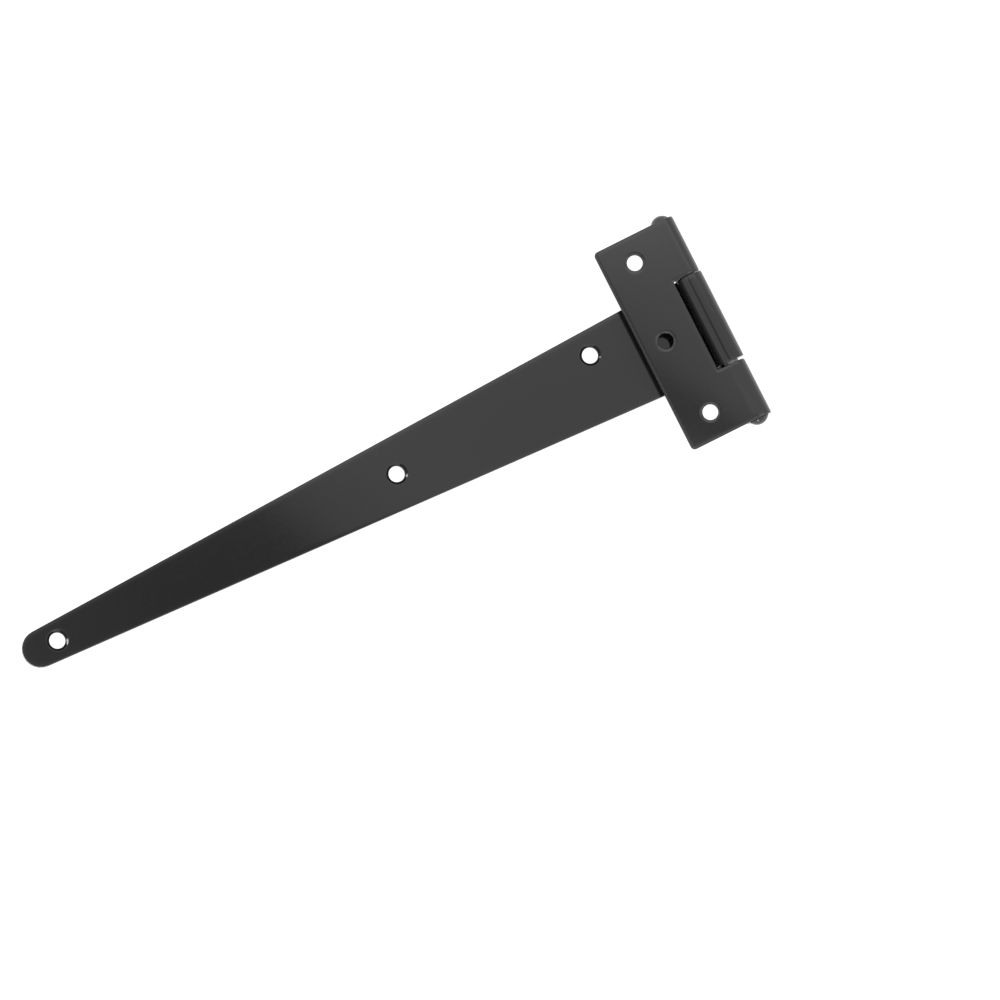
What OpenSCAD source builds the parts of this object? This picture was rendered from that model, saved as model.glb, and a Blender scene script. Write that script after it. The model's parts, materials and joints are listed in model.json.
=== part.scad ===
// T hinge: a long tapered strap leaf and a short frame plate, both rolled from
// steel sheet round one riveted pin. Drawn folded shut, with the plate lying over
// the root of the strap and swung a little past parallel towards it, the strap's
// screw face up and the plate's screw face down.
//
// Frame: the origin lies on the back of the strap, on its centre line and straight
// below the pin. +X runs along the strap to its tip, +Y along the pin, and +Z out of
// the strap's screw face. Lengths are in millimetres.

/* [Sheet and pin] */
// Thickness of the strap's sheet
strap_sheet = 2.3; // [1.8:0.1:2.6]
// Thickness of the plate's sheet
plate_sheet = 2; // [1.6:0.1:2.4]
// Diameter of the pin, which is tight in the plate's two barrels
pin_d = 5; // [4.5:0.1:5.5]
// Radial clearance of the strap's barrel on the pin
running_gap = 0.08; // [0.04:0.01:0.1]
// Angle between the free lip of each roll and the line square to the sheet's foot
lip_angle = 30; // [20:1:30]

/* [Strap leaf] */
// From the pin's axis to the strap's tip
strap_reach = 250; // [230:1:300]
// Width at the shoulders, where the taper starts
strap_root_w = 32.9; // [32.5:0.1:38]
// From the pin's axis to the shoulders
shoulder_x = 4.7; // [4.7:0.1:8]
// Size of the cut across each shoulder's corner
shoulder_cut = 0.5; // [0.5:0.1:1.2]
// Radius of the full-round tip
tip_r = 6.15; // [5.5:0.05:8]
// Length of the strap's barrel along the pin
strap_barrel_len = 30.8; // [28:0.1:31.5]

/* [Frame plate] */
// Length of the plate along the pin
plate_len = 71.7; // [68:0.1:80]
// From the pin's axis to the plate's free edge
plate_reach = 24.4; // [23:0.1:28]
// Radius of the corners at the free edge
plate_corner_r = 1.5; // [0.5:0.1:3]
// Length of the notch for the strap's barrel
notch_len = 32; // [31.6:0.1:34]
// Gap between the notch and the round of the strap's barrel
notch_gap = 0.25; // [0.15:0.05:0.5]
// How far the plate has slid along the pin from the strap's centre line
end_play = 0.2; // [0:0.1:0.6]
// How far the plate has swung past parallel, towards the strap
fold_past = 5.5; // [0:0.5:11]

/* [Screw holes] */
// Diameter of every screw hole
hole_d = 5.5; // [4.5:0.1:6]
// Mouth diameter of every countersink
countersink_d = 7.2; // [6.5:0.1:8]
// From the pin's axis to the strap's first hole
strap_hole_1_x = 39.7; // [35:0.1:45]
// How far the strap's first hole is staggered to one side of the centre line
strap_hole_1_y = 6.9; // [0:0.1:8]
// From the pin's axis to the strap's middle hole
strap_hole_2_x = 114; // [105:1:125]
// From the pin's axis to the hole at the tip
strap_hole_3_x = 237.8; // [150:0.1:240]
// From the pin's axis to the plate's two end holes
plate_end_hole_x = 13.6; // [12:0.1:15]
// Distance between the plate's two end holes
plate_hole_pitch = 54.3; // [48:0.1:60]
// From the pin's axis to the plate's middle hole, which is staggered outwards
plate_mid_hole_x = 16.1; // [15:0.1:18]

/* [Pin heads] */
// Diameter of each domed head
head_d = 6.6; // [6:0.1:8]
// Height of each domed head
head_h = 1.9; // [1:0.1:2.4]

/* [Hidden] */
$fn = 64;
coat = [0.17, 0.17, 0.17];
past = 1;                                   // how far a cutter runs past a face

plate_bore_r = pin_d / 2;
strap_bore_r = pin_d / 2 + running_gap;
plate_barrel_r = plate_bore_r + plate_sheet;
strap_barrel_r = strap_bore_r + strap_sheet;
pin_z = strap_barrel_r;                     // the strap's back touches its barrel's round
plate_top_z = pin_z + plate_barrel_r;
notch_x = strap_barrel_r + notch_gap;
ear_len = (plate_len - notch_len) / 2;
ear_mid_y = (plate_len - ear_len) / 2;
countersink_h = (countersink_d - hole_d) / 2;

tip_x = strap_reach - tip_r;
tip_side_y = tip_r - 0.01;                  // just inside the tip's round, which it crosses

// Sets a section, drawn about the pin's axis, along the pin
module along_pin(len, mid_y = 0) {
    translate([0, mid_y, pin_z])
        rotate([90, 0, 0])
            linear_extrude(height = len, center = true)
                children();
}

// Section through a barrel: a foot of flat sheet, rolled back over the pin until its
// lip comes down just short of the foot again
module rolled_sheet(sheet, bore_r, foot) {
    outer_r = bore_r + sheet;
    reach = 2 * outer_r;
    difference() {
        circle(r = outer_r);
        circle(r = bore_r);
        polygon([
            [0, 0],
            [0, -reach],
            [reach, -reach],
            [reach * cos(lip_angle), -reach * sin(lip_angle)]
        ]);
    }
    translate([0, -outer_r])
        square([foot, sheet]);
}

// Screw hole through a sheet whose back lies at z = 0, countersunk from the other face
module screw_hole(sheet) {
    translate([0, 0, -past])
        cylinder(d = hole_d, h = sheet + 2 * past);
    translate([0, 0, sheet - countersink_h])
        cylinder(d1 = hole_d, d2 = countersink_d, h = countersink_h);
    translate([0, 0, sheet])
        cylinder(d = countersink_d, h = past);
}

// Flat outline of the strap from its shoulders to its tip
module strap_outline() {
    root_y = strap_root_w / 2;
    polygon([
        [shoulder_x, shoulder_cut - root_y],
        [shoulder_x + shoulder_cut, -root_y],
        [tip_x, -tip_side_y],
        [tip_x, tip_side_y],
        [shoulder_x + shoulder_cut, root_y],
        [shoulder_x, root_y - shoulder_cut]
    ]);
    translate([tip_x, 0])
        circle(r = tip_r);
}

// Flat outline of the plate, with its notch and its two rounded corners
module plate_outline() {
    inner_x = plate_reach - plate_corner_r;
    difference() {
        union() {
            translate([0, -plate_len / 2])
                square([inner_x, plate_len]);
            translate([0, plate_corner_r - plate_len / 2])
                square([plate_reach, plate_len - 2 * plate_corner_r]);
            for (side = [-1, 1])
                translate([inner_x, side * (plate_len / 2 - plate_corner_r)])
                    circle(r = plate_corner_r);
        }
        translate([-past, -notch_len / 2])
            square([notch_x + past, notch_len]);
    }
}

// Tapered strap, its screw face up, rolled into the single middle barrel
module strap_leaf() {
    color(coat)
        difference() {
            union() {
                along_pin(strap_barrel_len)
                    rolled_sheet(strap_sheet, strap_bore_r, shoulder_x + shoulder_cut);
                linear_extrude(height = strap_sheet)
                    strap_outline();
            }
            for (at = [
                [strap_hole_1_x, -strap_hole_1_y],
                [strap_hole_2_x, 0],
                [strap_hole_3_x, 0]
            ])
                translate([at.x, at.y, 0])
                    screw_hole(strap_sheet);
        }
}

// Moves the plate, drawn level and centred, to where it has slid and swung
module swung_shut() {
    translate([0, end_play, pin_z])
        rotate([0, fold_past, 0])
            translate([0, 0, -pin_z])
                children();
}

// Short cross plate, its back up, rolled into the two outer barrels
module frame_plate() {
    color(coat)
        swung_shut() difference() {
            union() {
                for (side = [-1, 1])
                    along_pin(ear_len, side * ear_mid_y)
                        mirror([0, 1, 0])
                            rolled_sheet(plate_sheet, plate_bore_r, notch_x);
                translate([0, 0, plate_top_z - plate_sheet])
                    linear_extrude(height = plate_sheet)
                        plate_outline();
            }
            for (at = [
                [plate_end_hole_x, -plate_hole_pitch / 2],
                [plate_mid_hole_x, 0],
                [plate_end_hole_x, plate_hole_pitch / 2]
            ])
                translate([at.x, at.y, plate_top_z])
                    rotate([180, 0, 0])
                        screw_hole(plate_sheet);
        }
}

// Pin with a low dome riveted over each end
module hinge_pin() {
    dome_r = (pow(head_d / 2, 2) + pow(head_h, 2)) / (2 * head_h);
    color(coat)
        translate([0, end_play, pin_z]) {
            rotate([90, 0, 0])
                cylinder(d = pin_d, h = plate_len, center = true);
            for (side = [-1, 1])
                rotate([-90 * side, 0, 0])
                    translate([0, 0, plate_len / 2])
                        intersection() {
                            translate([0, 0, head_h - dome_r])
                                sphere(r = dome_r);
                            cylinder(d = head_d, h = head_h + past);
                        }
        }
}

strap_leaf();
frame_plate();
hinge_pin();
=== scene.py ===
"""Looks of the T hinge: black powder-coated strap and plate, rolled round a riveted pin.

Each leaf is one sheet of steel. It is drawn flat, with an outline and screw holes
whose edges are rounded, and its end is then rolled round the pin. Shapes are worked
out in millimetres and turned into metres when a mesh is made.
"""
import json
import math

import bpy
import numpy as np
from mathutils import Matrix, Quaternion, Vector, geometry


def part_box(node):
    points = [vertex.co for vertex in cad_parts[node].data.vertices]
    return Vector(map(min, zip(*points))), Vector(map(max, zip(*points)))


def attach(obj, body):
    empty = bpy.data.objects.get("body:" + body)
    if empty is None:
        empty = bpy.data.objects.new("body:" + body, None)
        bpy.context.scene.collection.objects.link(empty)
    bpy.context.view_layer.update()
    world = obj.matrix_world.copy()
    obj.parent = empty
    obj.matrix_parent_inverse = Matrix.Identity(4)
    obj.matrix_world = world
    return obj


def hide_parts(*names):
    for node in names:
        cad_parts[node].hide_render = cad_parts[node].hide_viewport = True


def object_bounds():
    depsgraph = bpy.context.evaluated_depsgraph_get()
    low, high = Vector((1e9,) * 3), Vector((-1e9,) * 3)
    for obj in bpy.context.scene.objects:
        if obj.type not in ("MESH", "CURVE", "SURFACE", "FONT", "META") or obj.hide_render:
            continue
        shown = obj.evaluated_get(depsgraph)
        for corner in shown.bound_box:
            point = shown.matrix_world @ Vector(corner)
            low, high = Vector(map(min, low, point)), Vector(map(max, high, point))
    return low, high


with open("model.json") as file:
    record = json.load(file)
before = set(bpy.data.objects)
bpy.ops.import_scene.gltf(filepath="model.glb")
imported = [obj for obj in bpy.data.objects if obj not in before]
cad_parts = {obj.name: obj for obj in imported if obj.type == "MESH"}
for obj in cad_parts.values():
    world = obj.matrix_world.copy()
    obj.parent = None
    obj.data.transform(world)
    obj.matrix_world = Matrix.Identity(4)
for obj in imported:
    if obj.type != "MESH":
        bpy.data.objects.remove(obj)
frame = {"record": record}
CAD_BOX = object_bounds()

MM = 0.001

# Sheet and pin, as in the CAD (millimetres)
STRAP_LO, STRAP_HI = (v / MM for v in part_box("strap_leaf"))
PLATE_LO, PLATE_HI = (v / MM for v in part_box("frame_plate"))
PIN_LO, PIN_HI = (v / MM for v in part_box("hinge_pin"))
PIN_Z = (PIN_LO.z + PIN_HI.z) / 2
STRAP_R = -STRAP_LO.x       # outer radii of the barrels
PLATE_R = -PLATE_LO.x
MOUNTS = {m["name"]: m for m in frame["record"]["mounts"]}
FOLD = math.atan2(MOUNTS["plate_back"]["axis"][0], MOUNTS["plate_back"]["axis"][2])
HOLE_R = {"strap": 2.64, "plate": 2.55}     # screw holes, narrowed by their coat
MOUTH_R = 3.6               # mouths of the countersinks
BORE_R = {"strap": 2.58, "plate": 2.5}      # insides of the barrels
ROLL = math.radians(300)    # how far each roll goes round the pin
HEAD_H = 1.9                # height of the pin's heads

# Coated edges
RIM_R = 0.3                 # rounding along every edge of the sheet
CORNER_R = 0.7              # rounding of the corners seen from above
THROAT_R = 0.2              # rounding between a hole and its countersink
MOUTH_ROUND = 0.3           # rounding round the mouth of a countersink
DROOP = {"strap": (2.4, 0.04), "plate": (1.3, 0.38)}    # strip's width, slope at the edge
DROOP_ROWS = (0.4, 0.6, 0.8, 1.0)   # rows of points across the drooping strip

# Fineness of the meshes
ARC = math.radians(15)      # step round small arcs
ROLL_STEP = math.radians(3) # step round the rolls
GRID = 2.0                  # spacing of the points across the flats
HOLE_POINTS = 64            # points round a screw hole
ROW_POINTS = 36             # points round a screw hole in the drooping strip
PIN_POINTS = 72             # points round the pin

# Camera (metres, and its lens in millimetres)
TILT = math.radians(10.5)       # away from straight above
BEARING = math.radians(23.3)    # towards which it leans, from +X
STRAP_DIRECTION = math.radians(206.17)  # in which the strap points in the picture
FRAME_WIDTH = 0.3245            # seen across the picture
PIN_IN_FRAME = (0.06727, 0.0578)    # right of and above the middle of the frame
LENS, SENSOR = 1000, 36

# Roof of the light tent, whose glow the level faces mirror (metres). The first table
# is its grey along x, the second how far that pattern shifts with y, and the third the
# light added along y.
BAY_Z = 0.7
BAY_LO, BAY_HI, BAY_SIDE = -0.8, 0.4, 0.8
BAY_PEAK = 2.5              # above every grey in the tables
BAY_ALONG = [
    (-0.8, 1.05), (-0.095, 1.05), (-0.045, 1.02), (-0.015, 1.09), (0.002, 1.09),
    (0.012, 1.0), (0.0226, 0.92), (0.0285, 0.86), (0.0325, 0.79), (0.036, 0.7),
    (0.039, 0.44), (0.042, 0.33), (0.047, 0.28), (0.095, 0.28), (0.106, 0.35),
    (0.125, 0.39), (0.145, 0.5), (0.25, 0.9), (0.4, 1.05)]
BAY_SLANT = [
    (-0.2, -0.03), (-0.0627, -0.005), (-0.0598, -0.0035), (-0.0514, 0.0),
    (-0.046, 0.0025), (-0.0376, 0.004), (-0.0293, 0.007), (-0.0209, 0.008),
    (-0.0167, 0.019), (0.0, 0.03), (0.05, 0.06), (0.3, 0.1)]
BAY_SIDES = [
    (-0.8, 0.3), (-0.3, 0.8), (-0.11, 0.72), (-0.098, 0.64), (-0.0862, 0.44),
    (-0.0838, 0.33), (-0.0796, 0.23), (-0.0712, 0.09), (-0.0628, 0.04), (-0.053, 0.0),
    (-0.043, 0.0), (-0.03, 0.03), (-0.01, 0.05), (0.004, 0.4), (0.1, 0.8),
    (0.3, 1.2), (0.8, 0.3)]


def unit(v):
    """Vectors scaled to a length of 1."""
    return v / np.linalg.norm(v, axis=-1, keepdims=True)


def circle(count):
    """Directions evenly all round."""
    turns = np.arange(count) * math.tau / count
    return np.stack([np.cos(turns), np.sin(turns)], axis=1)


def rounded(corners, closed):
    """Points along a path whose corners (x, y, radius) are rounded, and the normals to
    the right of the path there."""
    pts, nrm = [], []
    count = len(corners)
    for i, (x, y, r) in enumerate(corners):
        p = np.array([x, y], float)
        before = np.array(corners[i - 1][:2], float)
        after = np.array(corners[(i + 1) % count][:2], float)
        if not closed and i in (0, count - 1):
            along = after - p if i == 0 else p - before
            pts.append(p)
            nrm.append(unit(np.array([along[1], -along[0]])))
            continue
        a, b = unit(p - before), unit(after - p)
        turn = math.atan2(a[0] * b[1] - a[1] * b[0], float(a @ b))
        back = abs(r * math.tan(turn / 2))
        side = math.copysign(1, turn)
        left = np.array([-a[1], a[0]])
        centre = p - a * back + left * side * r
        steps = max(1, math.ceil(abs(turn) / ARC))
        for k in range(steps + 1):
            t = turn * k / steps
            n = np.array([a[1] * math.cos(t) + a[0] * math.sin(t),
                          -a[0] * math.cos(t) + a[1] * math.sin(t)])
            point = centre + n * side * r
            if not pts or np.linalg.norm(point - pts[-1]) > 1e-4:
                pts.append(point)
                nrm.append(n)
    return np.array(pts), np.array(nrm)


def subdivided(pts, nrm, roll_step):
    """Adds points to the long straight runs of a closed outline: closely along the
    roll, where x is below 0, and a grid step apart elsewhere."""
    out_p, out_n = [], []
    for i in range(len(pts)):
        j = (i + 1) % len(pts)
        p, q = pts[i], pts[j]
        length = np.linalg.norm(q - p)
        cuts = [0.0]
        if length < 0.4:
            pass
        elif abs(q[0] - p[0]) > 1e-6:
            lo, hi = sorted((p[0], q[0]))
            xs = []
            if lo < 0:
                k0, k1 = math.ceil(lo / roll_step), math.floor(min(hi, 0) / roll_step)
                xs += [k * roll_step for k in range(k0, k1 + 1)]
            if hi > 0:
                start = max(lo, 0)
                n = max(1, math.ceil((hi - start) / GRID))
                xs += [start + (hi - start) * k / n for k in range(n + 1)]
            cuts += [(x - p[0]) / (q[0] - p[0]) for x in xs]
        else:
            n = max(1, math.ceil(length / GRID))
            cuts += [k / n for k in range(n)]
        last = None
        for c in sorted(cuts):
            if last is None or min(c - last, 1 - c) * length > 0.05:
                out_p.append(p + (q - p) * c)
                out_n.append(unit(nrm[i] + (nrm[j] - nrm[i]) * c))
                last = c
    return np.array(out_p), np.array(out_n)


def inside(points, loops):
    """Whether each point lies inside the outline and outside the holes."""
    x, y = points[:, 0][:, None], points[:, 1][:, None]
    crossings = np.zeros(len(points), int)
    for loop in loops:
        x0, y0 = loop[:, 0], loop[:, 1]
        x1, y1 = np.roll(x0, -1), np.roll(y0, -1)
        spans = (y0 > y) != (y1 > y)
        with np.errstate(divide="ignore", invalid="ignore"):
            at = x0 + (y - y0) * (x1 - x0) / (y1 - y0)
        crossings += (spans & (x < at)).sum(axis=1)
    return crossings % 2 == 1


def nearest(points, loop):
    """Distance from each point to a closed loop, and the direction away from it."""
    a, b = loop, np.roll(loop, -1, axis=0)
    along = b - a
    rel = points[:, None] - a
    t = np.clip((rel * along).sum(-1) / (along ** 2).sum(-1), 0, 1)
    away = rel - t[..., None] * along
    dist = np.hypot(away[..., 0], away[..., 1])
    k = dist.argmin(axis=1)
    i = np.arange(len(points))
    return dist[i, k], away[i, k] / np.maximum(dist[i, k], 1e-9)[:, None]


def droop_rows(loop, normals, holes, hole_r, width):
    """Rows of points beside the outline and round the holes, where the sheet droops."""
    rows = []
    for share in DROOP_ROWS:
        row = loop - normals * width * share
        rows.append(row[nearest(row, loop)[0] > width * share - 0.02])
        rows += [np.array(h) + circle(ROW_POINTS) * (hole_r + width * share) for h in holes]
    return np.concatenate(rows)


def flat_points(loops, rows, roll_step):
    """Points across the flat pattern, in rows that match the outline's."""
    lo, hi = loops[0].min(0), loops[0].max(0)
    xs = list(np.arange(math.ceil(lo[0] / roll_step), 0) * roll_step)
    xs += list(np.arange(0, hi[0], GRID))
    ys = np.arange(math.ceil(lo[1] / GRID), hi[1] / GRID) * GRID
    grid = np.concatenate([rows, [(x, y) for x in xs for y in ys]])
    grid = grid[inside(grid, loops)]
    taken = np.concatenate(loops)
    keep = []
    for p in grid:
        room = 0.15 if p[0] < 0 else 0.25
        if np.min(np.hypot(*(taken - p).T)) > room:
            keep.append(p)
            taken = np.concatenate([taken, [p]])
    return np.array(keep)


def triangulated(loops, extra):
    """Triangles over the flat pattern, as indices into the loops' points, then extra."""
    pts = np.concatenate([*loops, extra])
    edges, at = [], 0
    for loop in loops:
        n = len(loop)
        edges += [(at + i, at + (i + 1) % n) for i in range(n)]
        at += n
    verts, _, faces, orig, _, _ = geometry.delaunay_2d_cdt(
        [Vector(p) for p in pts], edges, [], 0, 1e-7)
    first = [o[0] for o in orig]
    faces = np.array([[first[i] for i in f] for f in faces])
    walls = {frozenset(e) for e in edges}
    beside = {}
    for k, f in enumerate(faces):
        for i in range(3):
            edge = frozenset((f[i], f[(i + 1) % 3]))
            if edge not in walls:
                beside.setdefault(edge, []).append(k)
    a, b, c = (pts[faces[:, i]] for i in range(3))
    area = np.abs((b - a)[:, 0] * (c - a)[:, 1] - (b - a)[:, 1] * (c - a)[:, 0])
    start = int(np.argmax(area * inside((a + b + c) / 3, loops)))
    kept, front = {start}, [start]
    while front:
        f = faces[front.pop()]
        for i in range(3):
            for k in beside.get(frozenset((f[i], f[(i + 1) % 3])), ()):
                if k not in kept:
                    kept.add(k)
                    front.append(k)
    return faces[sorted(kept)]


def drooped(flat, depth, nrm_in, nrm_d, outline, holes, hole_r, thick, droop):
    """Lets both faces droop towards the outline, and the plain face towards the holes,
    as sheared sheet does. droop: (width of the strip, slope at its edge)."""
    width, slope = droop
    sink = np.zeros(len(flat))
    toward_face = 1 - 2 * depth / thick
    edges = [(*nearest(flat, outline), np.ones(len(flat)))]
    for h in holes:
        rel = flat - h
        dist = np.hypot(rel[:, 0], rel[:, 1])
        edges.append((dist - hole_r, rel / dist[:, None], (depth < thick / 2) * 1.0))
    for dist, away, share in edges:
        left = np.clip(1 - dist / width, 0, 1) * share
        sink += slope * width / 3 * left ** 3
        nrm_in = nrm_in - away * (slope * left ** 2 * np.abs(nrm_d))[:, None]
    return depth + sink * toward_face, nrm_in


def edge_rings(base, toward, path):
    """Rings of points over one edge: a rounded path (inwards, depth) carried along the
    base line. Each ring is its flat places, depths, and normals across and through."""
    pts, nrm = rounded(path, False)
    return [
        (base + toward * p[0], np.full(len(base), p[1]),
         toward * n[0], np.full(len(base), n[1]))
        for p, n in zip(pts[1:-1], -nrm[1:-1])
    ]


def edge_groups(out_p, out_n, holes, hole_r, thick):
    """The rings of every edge: the outline's, then each countersunk hole's."""
    past = 9                # any place beyond the rounding
    rim = [(past, 0, 0), (0, 0, RIM_R), (0, thick, RIM_R), (past, thick, 0)]
    hole = [
        (past, 0, 0), (hole_r, 0, RIM_R), (hole_r, thick - (MOUTH_R - hole_r), THROAT_R),
        (MOUTH_R, thick, MOUTH_ROUND), (past, thick, 0),
    ]
    return [edge_rings(out_p, -out_n, rim)] + [
        edge_rings(np.tile(h, (HOLE_POINTS, 1)), circle(HOLE_POINTS), hole) for h in holes
    ]


def ring_faces(groups):
    """Quads between each group's rings, the indices of the first and of the last rings,
    and the number of points."""
    faces, first, last, at = [], [], [], 0
    for group in groups:
        n = len(group[0][0])
        i = np.arange(n)
        j = (i + 1) % n
        first.append(at + i)
        for _ in group[1:]:
            faces += np.stack([at + i, at + j, at + n + j, at + n + i], axis=1).tolist()
            at += n
        last.append(at + i)
        at += n
    return faces, first, last, at


def rolled(flat, depth, nrm_in, nrm_d, thick, radius, up):
    """Rolls the pattern's x < 0 round the pin: places and normals about the pin's axis."""
    angle = np.maximum(0, -flat[:, 0]) / (radius - thick / 2)
    sin, cos = np.sin(angle), np.cos(angle)
    x = np.maximum(flat[:, 0], 0) - (radius - depth) * sin
    z = -up * (radius - depth) * cos
    nx = nrm_in[:, 0] * cos + nrm_d * sin
    nz = up * (nrm_d * cos - nrm_in[:, 0] * sin)
    return np.stack([x, flat[:, 1], z], axis=1), np.stack([nx, nrm_in[:, 1], nz], axis=1)


def swung(v, fold):
    """Places or normals turned about the pin's axis."""
    c, s = math.cos(fold), math.sin(fold)
    x, y, z = v.T
    return np.stack([x * c + z * s, y, z * c - x * s], axis=1)


def sheet_mesh(outline, holes, hole_r, thick, radius, up, droop):
    """One leaf: a flat pattern with rounded edges, rolled round the pin where x < 0.

    outline: corners (x, y, radius), anticlockwise. holes: (x, y). up: 1 where the
    screw face looks up, -1 where it looks down. Returns points and normals about the
    pin's axis, and faces."""
    roll_step = ROLL_STEP * (radius - thick / 2)
    out_p, out_n = subdivided(*rounded(outline, True), roll_step)
    groups = edge_groups(out_p, out_n, holes, hole_r, thick)
    faces, first, last, at = ring_faces(groups)
    parts = [ring for group in groups for ring in group]
    rows = droop_rows(out_p, out_n, holes, hole_r, droop[0])
    for end, starts, level, facing in ((0, first, 0.0, -1.0), (-1, last, thick, 1.0)):
        loops = [group[end][0] for group in groups]
        extra = flat_points(loops, rows, roll_step)
        n = len(extra)
        index = np.concatenate([*starts, at + np.arange(n)])
        faces += index[triangulated(loops, extra)].tolist()
        parts.append((extra, np.full(n, level), np.zeros((n, 2)), np.full(n, facing)))
        at += n
    flat, depth, nrm_in, nrm_d = (np.concatenate(p) for p in zip(*parts))
    depth, nrm_in = drooped(
        flat, depth, nrm_in, nrm_d, out_p, holes, hole_r, thick, droop)
    return *rolled(flat, depth, nrm_in, nrm_d, thick, radius, up), faces


def piece(name, pos, nrm, faces, body, node, materials):
    """Makes a mesh object whose faces look the way its normals do, and puts it in the
    frame in place of a CAD node."""
    turned = []
    for f in faces:
        p = pos[list(f)]
        looks = np.cross(p[2] - p[0], p[-1] - p[1])
        turned.append(tuple(f) if looks @ nrm[list(f)].sum(0) >= 0 else tuple(f)[::-1])
    mesh = bpy.data.meshes.new(name)
    mesh.from_pydata((pos * MM).tolist(), [], turned)
    mesh.validate()
    mesh.polygons.foreach_set("use_smooth", [True] * len(mesh.polygons))
    mesh.normals_split_custom_set_from_vertices(nrm.tolist())
    for m in materials:
        mesh.materials.append(m)
    obj = bpy.data.objects.new(name, mesh)
    bpy.context.scene.collection.objects.link(obj)
    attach(obj, body)
    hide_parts(node)
    return obj


def hole_xy(name, fold=0.0):
    """Middle of a screw hole in its leaf's flat pattern."""
    x, y, z = (v / MM for v in MOUNTS[name]["pos_m"])
    return x * math.cos(fold) - (z - PIN_Z) * math.sin(fold), y


def strap(coat):
    """Long taper with a round tip, three screw holes and the middle barrel."""
    thick = STRAP_R - BORE_R["strap"]
    end = -ROLL * (STRAP_R - thick / 2)
    barrel_lo, barrel_hi = -15.6, 15.4
    step_x, step_hi = 0.5, 16.1     # just clear of the plate's barrel, which has slid to +Y
    shoulder_x = 4.6
    root_x, root_y = 5.4, STRAP_HI.y
    tip_r = 6.15
    run = STRAP_HI.x - tip_r - root_x
    lean = math.atan2(root_y, run) - math.asin(tip_r / math.hypot(run, root_y))
    tip_y = tip_r * (1 - math.sin(lean)) / math.cos(lean)
    corners = [
        (end, barrel_hi, 0.5), (end, barrel_lo, 0.5), (shoulder_x, barrel_lo, 0.2),
        (root_x, -root_y, 0.8), (STRAP_HI.x, -tip_y, tip_r),
        (STRAP_HI.x, tip_y, tip_r), (root_x, root_y, 0.8), (shoulder_x, step_hi, 0.2),
        (step_x, step_hi, 0.34), (step_x, barrel_hi, 0.05),
    ]
    holes = [hole_xy("strap_hole_" + n) for n in ("near_pin", "middle", "tip")]
    pos, nrm, faces = sheet_mesh(
        corners, holes, HOLE_R["strap"], thick, STRAP_R, 1, DROOP["strap"])
    pos[:, 2] += PIN_Z
    return piece(
        "strap_coated", pos, unit(nrm), faces,
        "strap", "strap_leaf", [coat])


def twisted(pos, nrm):
    """The plate's slight twist: it dips towards the corner of its free edge and +Y end."""
    level_x, span, amount = 5, 30, 0.00045
    x, y, z = pos.T
    nx, ny, nz = nrm.T
    share, out = np.clip(y / span, 0, None), np.clip(x - level_x, 0, None)
    z = z - amount * (share * out) ** 2
    nx = nx + 2 * amount * share ** 2 * out * nz
    ny = ny + 2 * amount * share * out ** 2 / span * nz
    return np.stack([x, y, z], axis=1), np.stack([nx, ny, nz], axis=1)


def plate(coat):
    """Short cross plate with a notch, three screw holes and a barrel at each end, swung
    over the strap."""
    thick = PLATE_R - BORE_R["plate"]
    end = -ROLL * (PLATE_R - thick / 2)
    lo, hi = PLATE_LO.y, PLATE_HI.y
    reach = (PLATE_HI.x - PLATE_R * math.sin(FOLD)) / math.cos(FOLD)
    half_notch, notch_gap, notch_r, corner_r = 16, 0.25, 0.3, 1.5
    notch_x = STRAP_R + notch_gap
    notch_lo, notch_hi = (lo + hi) / 2 - half_notch, (lo + hi) / 2 + half_notch
    corners = [
        (end, hi, CORNER_R), (end, notch_hi, CORNER_R),
        (notch_x, notch_hi, notch_r), (notch_x, notch_lo, notch_r),
        (end, notch_lo, CORNER_R), (end, lo, CORNER_R),
        (reach, lo, corner_r), (reach, hi, corner_r),
    ]
    holes = [hole_xy("plate_hole_" + n, FOLD) for n in ("low_y", "middle", "high_y")]
    pos, nrm, faces = sheet_mesh(
        corners, holes, HOLE_R["plate"], thick, PLATE_R, -1, DROOP["plate"])
    pos, nrm = (swung(v, FOLD) for v in twisted(pos, nrm))
    pos[:, 2] += PIN_Z
    return piece(
        "plate_coated", pos, unit(nrm), faces,
        "plate", "frame_plate", [coat])


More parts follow.
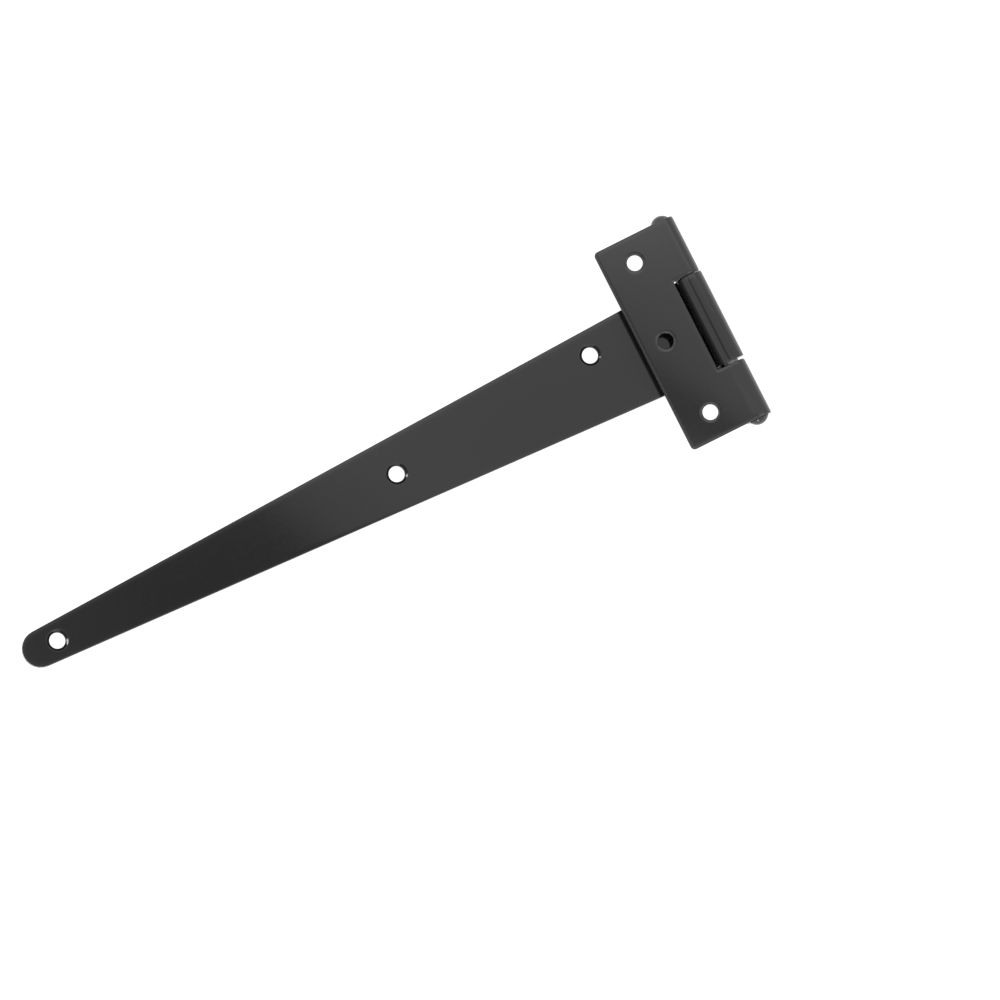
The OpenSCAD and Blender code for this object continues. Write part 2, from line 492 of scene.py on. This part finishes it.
def pin(coat, steel):
    """Riveted pin: a steel shank between two coated domed heads."""
    lo, hi = PIN_LO.y, PIN_HI.y
    head_r, shank_r = PIN_HI.x, BORE_R["plate"]
    dome_r = (head_r ** 2 + HEAD_H ** 2) / (2 * HEAD_H)
    spread = math.asin(head_r / dome_r)
    first, last, rows = 0.02, 0.93 * spread, 9  # angles up the dome, and how many
    rim_h, rim_in = 0.22, 0.08      # edge of the head: its height, and its back's inset
    half = [
        (dome_r * math.sin(a), lo + dome_r * (1 - math.cos(a)))
        for a in np.linspace(first, last, rows)
    ]
    half += [(head_r, lo + HEAD_H - rim_h), (head_r - rim_in, lo + HEAD_H),
             (shank_r, lo + HEAD_H)]
    profile = half + [(r, lo + hi - y) for r, y in reversed(half)]
    count = PIN_POINTS
    rim = circle(count)
    pos, nrm = [(0, lo, PIN_Z)], [(0, -1, 0)]
    prof = np.array([(0, lo), *profile, (0, hi)])
    for i, (r, y) in enumerate(profile):
        t = unit(prof[i + 2] - prof[i])
        n = np.array([t[1], -t[0]])
        for cos, sin in rim:
            pos.append((r * cos, y, PIN_Z + r * sin))
            nrm.append((n[0] * cos, n[1], n[0] * sin))
    pos.append((0, hi, PIN_Z))
    nrm.append((0, 1, 0))
    faces = []
    top = 1 + (len(profile) - 1) * count
    for k in range(count):
        j = (k + 1) % count
        faces.append((0, 1 + k, 1 + j))
        for a in range(1, top, count):
            faces.append((a + k, a + j, a + count + j, a + count + k))
        faces.append((top + k, top + j, len(pos) - 1))
    obj = piece(
        "pin_riveted", np.array(pos), unit(np.array(nrm)), faces,
        "plate", "hinge_pin", [coat, steel])
    for p in obj.data.polygons:
        ys = [obj.data.vertices[i].co.y / MM for i in p.vertices]
        p.material_index = 1 if max(ys) - min(ys) > hi - lo - 3 * HEAD_H else 0
    return obj


def node_maker(mat):
    """A function that adds a shader node to a material: inputs are values or links."""
    nodes, links = mat.node_tree.nodes, mat.node_tree.links

    def make(kind, inputs=None, **settings):
        node = nodes.new("ShaderNode" + kind)
        for key, value in settings.items():
            setattr(node, key, value)
        for key, value in (inputs or {}).items():
            if isinstance(value, bpy.types.NodeSocket):
                links.new(value, node.inputs[key])
            else:
                node.inputs[key].default_value = value
        return node
    return make


def powder_coat(name, grey):
    """Glossy black powder coat: faint orange peel over slow waves, with fine mottling
    in its colour and gloss. grey: the coat's middle tone."""
    mat = bpy.data.materials.new(name)
    mat.use_nodes = True
    make = node_maker(mat)
    shader = mat.node_tree.nodes["Principled BSDF"]
    place = make("TexCoord").outputs["Object"]
    peel = make("TexNoise", {"Vector": place, "Scale": 700, "Detail": 2, "Roughness": 0.4})
    wave = make("TexNoise", {"Vector": place, "Scale": 60, "Detail": 1, "Roughness": 0.3})
    grain = make("TexNoise", {"Vector": place, "Scale": 4500, "Detail": 2})
    tone = make("ValToRGB", {"Fac": grain.outputs["Fac"]})
    tone.color_ramp.elements[0].position = 0.3
    tone.color_ramp.elements[1].position = 0.7
    tone.color_ramp.elements[0].color = (grey * 0.85, grey * 0.85, grey * 0.87, 1)
    tone.color_ramp.elements[1].color = (grey * 1.15, grey * 1.15, grey * 1.13, 1)
    gloss = make("MapRange", {"Value": peel.outputs["Fac"], "From Min": 0.3,
                              "From Max": 0.7, "To Min": 0.06, "To Max": 0.085})
    slow = make("Bump", {"Height": wave.outputs["Fac"], "Strength": 1, "Distance": 1e-5})
    fine = make("Bump", {"Height": peel.outputs["Fac"], "Strength": 1,
                         "Distance": 1.5e-6, "Normal": slow.outputs["Normal"]})
    links = mat.node_tree.links
    links.new(tone.outputs["Color"], shader.inputs["Base Color"])
    links.new(gloss.outputs["Result"], shader.inputs["Roughness"])
    links.new(fine.outputs["Normal"], shader.inputs["Normal"])
    shader.inputs["IOR"].default_value = 1.5
    return mat


def pin_steel():
    """Drawn steel, dark and slightly oiled, with fine lines round the pin."""
    mat = bpy.data.materials.new("pin_steel")
    mat.use_nodes = True
    make = node_maker(mat)
    shader = mat.node_tree.nodes["Principled BSDF"]
    place = make("TexCoord").outputs["Object"]
    squeeze = make("Mapping", {"Vector": place, "Scale": (300, 9000, 300)})
    lines = make("TexNoise", {"Vector": squeeze.outputs["Vector"], "Scale": 1, "Detail": 3})
    tone = make("ValToRGB", {"Fac": lines.outputs["Fac"]})
    tone.color_ramp.elements[0].color = (0.10, 0.10, 0.10, 1)
    tone.color_ramp.elements[1].color = (0.32, 0.31, 0.30, 1)
    gloss = make("MapRange", {"Value": lines.outputs["Fac"], "To Min": 0.25, "To Max": 0.5})
    bump = make("Bump", {"Height": lines.outputs["Fac"], "Distance": 2e-6})
    links = mat.node_tree.links
    links.new(tone.outputs["Color"], shader.inputs["Base Color"])
    links.new(gloss.outputs["Result"], shader.inputs["Roughness"])
    links.new(bump.outputs["Normal"], shader.inputs["Normal"])
    shader.inputs["Metallic"].default_value = 1
    return mat


def graded(make, value, stops):
    """Grey that follows a value through stops (value, grey)."""
    lo, hi = stops[0][0], stops[-1][0]
    share = make("MapRange", {"Value": value, "From Min": lo, "From Max": hi})
    ramp = make("ValToRGB", {"Fac": share.outputs["Result"]})
    elements = ramp.color_ramp.elements
    while len(elements) < len(stops):
        elements.new(0.5)
    for e, (at, grey) in zip(elements, stops):
        e.position = (at - lo) / (hi - lo)
        e.color = (grey, grey, grey, 1)
    return ramp.outputs["Color"]


def glow(name, strength, diffuse=0.0):
    """A surface that glows evenly."""
    mat = bpy.data.materials.new(name)
    mat.use_nodes = True
    shader = mat.node_tree.nodes["Principled BSDF"]
    shader.inputs["Base Color"].default_value = (diffuse,) * 3 + (1,)
    shader.inputs["Roughness"].default_value = 1
    shader.inputs["Specular IOR Level"].default_value = 0
    shader.inputs["Emission Color"].default_value = (1, 1, 1, 1)
    shader.inputs["Emission Strength"].default_value = strength
    return mat


def bay_glow():
    """Light of the tent's roof round the camera: grey where the camera's dark bay is,
    along x, its edge slanting with y, and brighter towards both sides."""
    lift = 0.1              # keeps the shifts above 0, where a colour ramp ends
    mat = glow("tent_roof", strength=BAY_PEAK)
    make = node_maker(mat)
    split = make("SeparateXYZ", {"Vector": make("TexCoord").outputs["Object"]})
    slant = graded(make, split.outputs["Y"], [(y, k + lift) for y, k in BAY_SLANT])
    along = make("Math", {0: split.outputs["X"], 1: slant}, operation="ADD")
    along = make("Math", {0: along.outputs[0], 1: lift}, operation="SUBTRACT")
    bay = graded(make, along.outputs[0], [(x, g / BAY_PEAK) for x, g in BAY_ALONG])
    sides = graded(make, split.outputs["Y"], [(y, g / BAY_PEAK) for y, g in BAY_SIDES])
    both = make("MixRGB", {0: 1.0, 1: bay, 2: sides}, blend_type="ADD")
    shader = mat.node_tree.nodes["Principled BSDF"]
    mat.node_tree.links.new(both.outputs[0], shader.inputs["Emission Color"])
    return mat


def stage_plane(name, corners, mat):
    """A floor or card, which isn't part of the hinge."""
    mesh = bpy.data.meshes.new(name)
    mesh.from_pydata(corners, [], [(0, 1, 2, 3)])
    mesh.materials.append(mat)
    obj = bpy.data.objects.new(name, mesh)
    bpy.context.scene.collection.objects.link(obj)
    return obj


def camera():
    """Places the camera, and returns its right and up directions."""
    away = Vector((math.sin(TILT) * math.cos(BEARING),
                   math.sin(TILT) * math.sin(BEARING), math.cos(TILT)))
    turn = (-away).to_track_quat("-Z", "Y")
    x_seen = turn.inverted() @ Vector((1, 0, 0))
    roll = math.atan2(x_seen.y, x_seen.x) - STRAP_DIRECTION
    turn = turn @ Quaternion((0, 0, 1), roll)
    right, up = turn @ Vector((1, 0, 0)), turn @ Vector((0, 1, 0))
    distance = FRAME_WIDTH * LENS / SENSOR
    data = bpy.data.cameras.new("camera")
    data.lens, data.sensor_width = LENS, SENSOR
    data.clip_start, data.clip_end = 0.5, 50
    cam = bpy.data.objects.new("camera", data)
    bpy.context.scene.collection.objects.link(cam)
    cam.rotation_mode = "QUATERNION"
    cam.rotation_quaternion = turn
    cam.location = away * distance - right * PIN_IN_FRAME[0] - up * PIN_IN_FRAME[1]
    bpy.context.scene.camera = cam
    return right, up


def lamp(name, toward, distance, width, height, radiance, aim):
    """A strip light that stands some way from a point and faces it."""
    data = bpy.data.lights.new(name, "AREA")
    data.shape, data.size, data.size_y = "RECTANGLE", width, height
    data.energy = radiance * math.pi * width * height
    obj = bpy.data.objects.new(name, data)
    bpy.context.scene.collection.objects.link(obj)
    obj.location = aim + toward.normalized() * distance
    obj.rotation_mode = "QUATERNION"
    obj.rotation_quaternion = (-toward).to_track_quat("-Z", "Y")
    obj.visible_camera = False


def studio(right, up):
    """A white light tent over a white floor, with a grey bay round the camera, a dark
    flag beyond the tip and two low lamps."""
    scene = bpy.context.scene
    scene.view_settings.view_transform = "Standard"
    world = bpy.data.worlds.new("tent")
    world.use_nodes = True
    world.node_tree.nodes["Background"].inputs["Color"].default_value = (1, 1, 1, 1)
    world.node_tree.nodes["Background"].inputs["Strength"].default_value = 1.05
    scene.world = world
    far, floor_z = 6, CAD_BOX[0].z - 0.0002
    stage_plane("floor", [(-far, -far, floor_z), (far, -far, floor_z),
                          (far, far, floor_z), (-far, far, floor_z)],
                glow("white_table", strength=1.0, diffuse=0.3))
    bay = stage_plane("camera_bay", [(BAY_LO, -BAY_SIDE, BAY_Z), (BAY_HI, -BAY_SIDE, BAY_Z),
                                     (BAY_HI, BAY_SIDE, BAY_Z), (BAY_LO, BAY_SIDE, BAY_Z)],
                      bay_glow())
    flag_x, flag_side, flag_top = 1.2, 1.2, 0.65
    flag = stage_plane("dark_flag", [(flag_x, -flag_side, 0), (flag_x, flag_side, 0),
                                     (flag_x, flag_side, flag_top),
                                     (flag_x, -flag_side, flag_top)],
                       glow("flag_grey", strength=0.25))
    for card in (bay, flag):
        card.visible_camera = card.visible_diffuse = card.visible_shadow = False
    rise = Vector((0, 0, 0.13))
    strip = {"distance": 0.9, "width": 0.6, "height": 0.12, "radiance": 12,
             "aim": (CAD_BOX[0] + CAD_BOX[1]) / 2}
    lamp("lamp_left", 0.14 * up - 0.96 * right + rise, **strip)
    lamp("lamp_front", 0.09 * right - 0.95 * up + rise, **strip)


right, up = camera()
strap(powder_coat("black_coat_strap", 0.0115))
# The plate's coat is the strap's black coat painted lighter (grey 0.019 against 0.0115).
# This is painted brightness for the extra light the plate catches, not a different paint,
# and the pin's heads share it.
plate_coat_painted_lighter = powder_coat("black_coat_plate_painted_lighter", 0.019)
plate(plate_coat_painted_lighter)
pin(plate_coat_painted_lighter, pin_steel())
studio(right, up)
